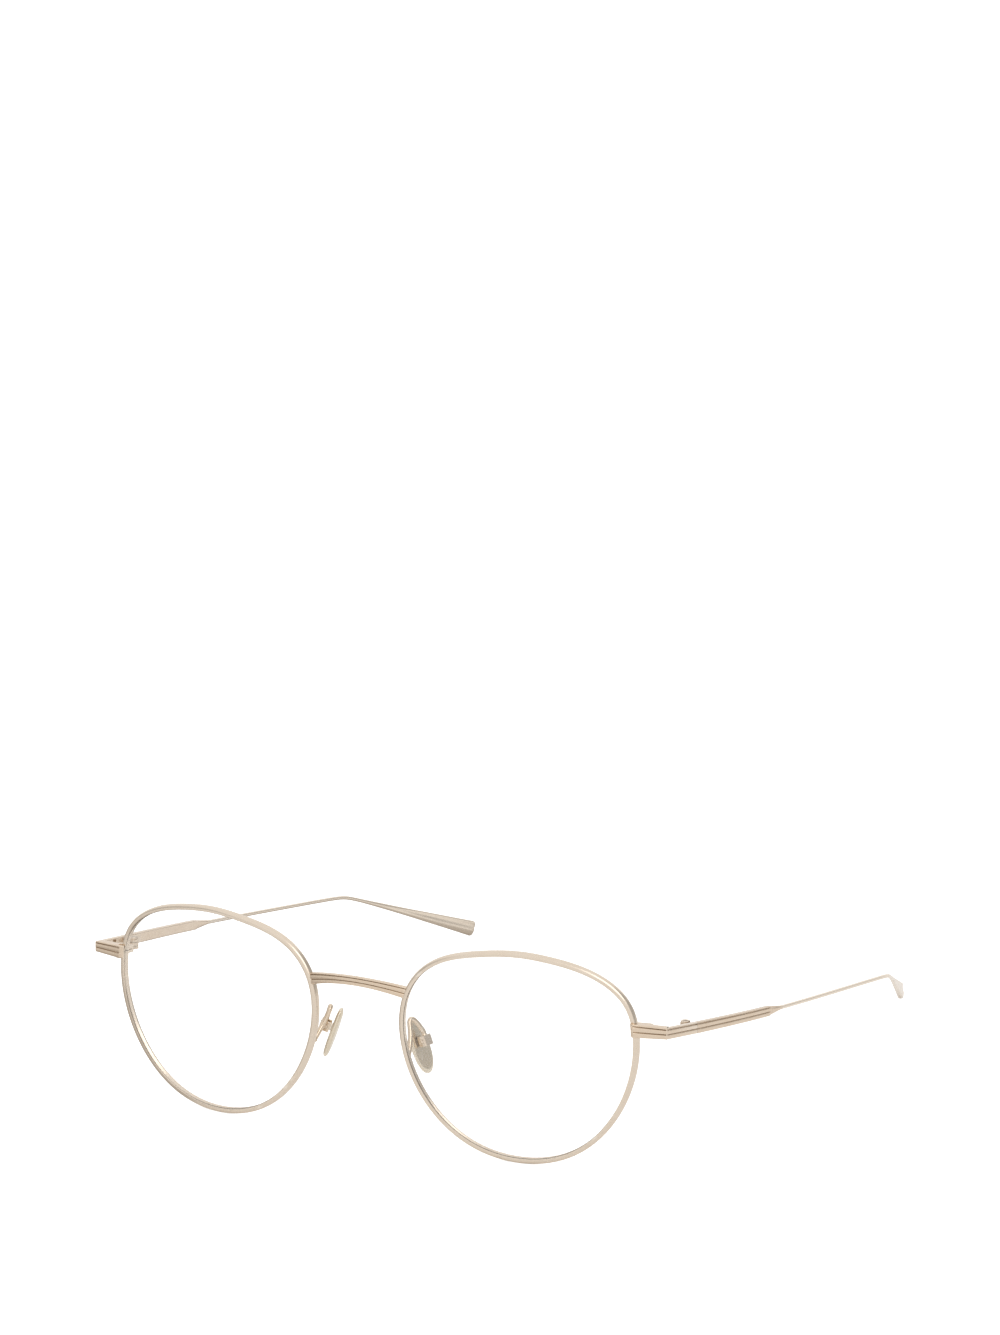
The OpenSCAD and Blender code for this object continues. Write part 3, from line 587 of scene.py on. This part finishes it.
def make_pad_arm(side, word):
    foot = to_front(rim_points(ARM_TH, 0, RIM_D / 2 - BRAZE / 2))
    over_box = PAD_SCREW_UP + BOX_L / 2
    points = np.array([
        foot,
        foot + [-0.1, 0.7, 0.5],
        [foot[0] / 2 + ARM_X / 2, ARM_BACK / 2 + 0.7, (foot[2] + PAD_Z + ARM_UP) / 2],
        [ARM_X, ARM_BACK - 0.5, PAD_Z + ARM_UP - 0.3],
        [ARM_X + 0.5, ARM_BACK + 0.4, PAD_Z + ARM_UP - 0.2],
        to_pad([PAD_STAND + 0.4, 0, over_box + 1.1]),
        to_pad([PAD_STAND + 0.4, 0, over_box - BRAZE]),
    ])
    path = smooth_path(points, 12)
    count = np.arange(len(path))
    swell = np.exp(-(count / 5) ** 2) + 0.6 * np.exp(-((count[-1] - count) / 3) ** 2)
    skins = [skin(placed(tube(path, ARM_D + ARM_SWELL * swell), side))]
    make(f"pad_wire_{word}", skins, "front", bright_gold, f"pad_arm_{word}", sharp=50)


# Nose pads: an oval shell with a flat back and a domed face, and the fixing tab
PAD_SKIN = np.array([
    [0.5, 0.03], [0.5, 0.6], [0.5, 0.8], [0.48, 0.86], [0.42, 0.92], [0.3, 0.97], [0.15, 1.0],
    [-0.05, 1.0], [-0.2, 0.96], [-0.34, 0.89], [-0.43, 0.8], [-0.48, 0.66], [-0.5, 0.45], [-0.5, 0.03],
])


def make_nose_pad(side, word):
    a = (2 * np.pi * np.arange(96) / 96)[None, :]
    x, share = PAD_SKIN[:, :1] * PAD_T, PAD_SKIN[:, 1:]
    rings = np.stack([
        x + 0 * a, share * PAD_W / 2 * np.cos(a) * (1 - PAD_EGG * np.sin(a)), share * PAD_L / 2 * np.sin(a)
    ], -1)
    skins = [skin(placed(to_pad(rings.reshape(-1, 3)).reshape(rings.shape), side)), tab_skin(side)]
    make(f"pad_shell_{word}", skins, f"pad_{word}", pad_gold, f"nose_pad_{word}", sharp=40)


def tab_skin(side):
    """The flat tab that stands up from the pad's back, round at its end and bored across."""
    stem = PAD_STAND - TAB_SUNK * PAD_T
    a = np.radians(np.linspace(-90, 90, 17))
    round_end = TAB_R * np.stack([np.cos(a), np.sin(a)], -1)
    b = np.radians(np.linspace(-180, 180, 21))
    hole = BORE_D / 2 * np.stack([np.cos(b), np.sin(b)], -1)
    outer = np.vstack([[[-stem, -TAB_R]], round_end, [[-stem, TAB_R]], [[-stem, 0]], [[-BORE_D / 2, 0]]])
    outline = np.vstack([outer, hole[::-1][1:-1], [[-BORE_D / 2, 0]], [[-stem, 0]]])
    y = TAB_T / 2
    near = np.stack([outline[:, 0], 0 * outline[:, 0] - y, outline[:, 1]], -1)
    far = near + [0, TAB_T, 0]
    m = len(outline)
    points = placed(to_pad(np.vstack([near, far]) + [PAD_STAND, 0, PAD_SCREW_UP]), side)
    faces = [[k, (k + 1) % m, m + (k + 1) % m, m + k] for k in range(m)]
    faces += [list(range(m))[::-1], list(range(m, 2 * m))]
    return points, faces


# Small hard parts keep their CAD shape and get softened edges
def finish_cad(node, material, edge=SOFT_EDGE):
    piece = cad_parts[node]
    piece.data.materials.clear()
    piece.data.materials.append(material)
    weld = piece.modifiers.new("weld", "WELD")
    weld.merge_threshold = WELD_WITHIN * MM
    bevel = piece.modifiers.new("soft_edges", "BEVEL")
    bevel.width = edge * MM
    bevel.segments = 2
    bevel.limit_method = "ANGLE"
    bevel.angle_limit = math.radians(EDGE_ANGLE)


# The studio
def calculated(tree, operation, first, second):
    """One step of arithmetic on two outputs, kept between 0 and 1."""
    node = tree.nodes.new("ShaderNodeMath")
    node.operation = operation
    node.use_clamp = True
    tree.links.new(first, node.inputs[0])
    tree.links.new(second, node.inputs[1])
    return node.outputs[0]


def seen_directly(tree):
    """1 for camera, glossy and transmission rays, and otherwise 0."""
    path = tree.nodes.new("ShaderNodeLightPath")
    seen = calculated(tree, "MAXIMUM", path.outputs["Is Camera Ray"], path.outputs["Is Glossy Ray"])
    return calculated(tree, "MAXIMUM", seen, path.outputs["Is Transmission Ray"])


def reflected(tree):
    """1 for rays that a surface mirrors, and otherwise 0, also for those that a lens lets through."""
    path = tree.nodes.new("ShaderNodeLightPath")
    return calculated(tree, "SUBTRACT", path.outputs["Is Glossy Ray"], path.outputs["Is Transmission Ray"])


def unless_reflected(tree, shown, mirrored):
    """The first value, or for reflected rays the second, which is a number or an output."""
    node = tree.nodes.new("ShaderNodeMix")
    tree.links.new(reflected(tree), node.inputs[0])
    tree.links.new(shown, node.inputs[2])
    if isinstance(mirrored, bpy.types.NodeSocket):
        tree.links.new(mirrored, node.inputs[3])
    else:
        node.inputs[3].default_value = mirrored
    return node.outputs[0]


def make_floor():
    """A pale floor that shows white; reflections see less glow, and painted shade towards -X and +Y."""
    mesh = bpy.data.meshes.new("floor")
    half = FLOOR_HALF
    corners = [(-half, -half, 0), (half, -half, 0), (half, half, 0), (-half, half, 0)]
    mesh.from_pydata(corners, [], [(0, 1, 2, 3)])
    floor = bpy.data.objects.new("floor", mesh)
    bpy.context.collection.objects.link(floor)
    material, tree, shader = new_material("floor")
    shader.inputs["Roughness"].default_value = 0.9
    shader.inputs["Specular IOR Level"].default_value = 0
    pale = mixed(tree, noise(tree, 0.002), (0.9, 0.9, 0.9), (0.88, 0.88, 0.88))
    place = tree.nodes.new("ShaderNodeTexCoord")
    part = tree.nodes.new("ShaderNodeSeparateXYZ")
    tree.links.new(place.outputs["Object"], part.inputs[0])
    # Painted shade: towards -X and +Y the floor is darker for reflected rays only
    low_x = ranged(tree, part.outputs["X"], *REFLECTED_FLOOR_SHADE_X, 1, 0)
    high_y = ranged(tree, part.outputs["Y"], *REFLECTED_FLOOR_SHADE_Y, 0, 1)
    corner = calculated(tree, "MULTIPLY", low_x, high_y)
    reflected_shade = calculated(tree, "MULTIPLY", corner, reflected(tree))
    tree.links.new(mixed(tree, reflected_shade, pale, REFLECTED_FLOOR_SHADE), shader.inputs["Base Color"])
    shader.inputs["Emission Color"].default_value = (1, 1, 1, 1)
    shown = ranged(tree, seen_directly(tree), 0, 1, 0, FLOOR_GLOW)
    tree.links.new(unless_reflected(tree, shown, FLOOR_MIRRORED), shader.inputs["Emission Strength"])
    mesh.materials.append(material)


def darker_part(tree, direction, start, full, shade):
    """A soft darker part of the studio, by how far a ray goes the given way."""
    place = tree.nodes.new("ShaderNodeTexCoord")
    along = tree.nodes.new("ShaderNodeVectorMath")
    along.operation = "DOT_PRODUCT"
    along.inputs[1].default_value = direction
    tree.links.new(place.outputs["Generated"], along.inputs[0])
    return ranged(tree, along.outputs["Value"], start, full, 1, shade)


def make_world():
    """A white world; reflections see two darker parts in it."""
    world = bpy.data.worlds.new("studio")
    bpy.context.scene.world = world
    world.use_nodes = True
    tree = world.node_tree
    shown = ranged(tree, seen_directly(tree), 0, 1, WORLD_LIGHT, 1)
    dark = calculated(tree, "MULTIPLY", darker_part(tree, *DARK_LEFT), darker_part(tree, *DARK_RIGHT))
    background = tree.nodes["Background"]
    tree.links.new(unless_reflected(tree, shown, dark), background.inputs["Strength"])
    background.inputs["Color"].default_value = (1, 1, 1, 1)


def make_lamp():
    lamp = bpy.data.lights.new("key", "AREA")
    lamp.shape = "DISK"
    lamp.size = LAMP_SIZE
    lamp.energy = LAMP_POWER
    obj = bpy.data.objects.new("key", lamp)
    bpy.context.collection.objects.link(obj)
    obj.location = LAMP_PLACE
    back = (np.array(LAMP_PLACE, float) - LAMP_TARGET).tolist()
    obj.rotation_euler = Vector(back).to_track_quat("Z", "Y").to_euler()


def make_camera():
    az, el = math.radians(CAM_AZIMUTH), math.radians(CAM_ELEVATION)
    back = np.array([math.sin(az) * math.cos(el), -math.cos(az) * math.cos(el), math.sin(el)])
    right = np.array([math.cos(az), math.sin(az), 0])
    up = np.cross(back, right)
    place = back * CAM_DISTANCE + right * CAM_RIGHT + up * CAM_UP + CAM_TARGET
    data = bpy.data.cameras.new("camera")
    data.lens = CAM_LENS
    camera = bpy.data.objects.new("camera", data)
    bpy.context.collection.objects.link(camera)
    m = np.eye(4)
    m[:3, 0], m[:3, 1], m[:3, 2], m[:3, 3] = right, up, back, place * MM
    camera.matrix_world = Matrix(m.tolist())
    bpy.context.scene.camera = camera


make_camera()
make_world()
make_floor()
make_lamp()
make_bridge()
for side, word in SIDES:
    make_rim(side, word)
    make_lens(side, word)
    make_end_piece(side, word)
    make_temple(side, word)
    make_pad_arm(side, word)
    make_nose_pad(side, word)
    finish_cad(f"pad_box_{word}", bright_gold)
    finish_cad(f"pad_screw_{word}", bright_gold, FINE_EDGE)
    for small in ("rim_lock_upper", "rim_lock_lower", "hinge_front", "hinge_temple"):
        finish_cad(f"{small}_{word}", fitting_gold)
    for small in ("rim_screw", "hinge_screw"):
        finish_cad(f"{small}_{word}", fitting_gold, FINE_EDGE)

bpy.context.scene.view_settings.view_transform = "Standard"
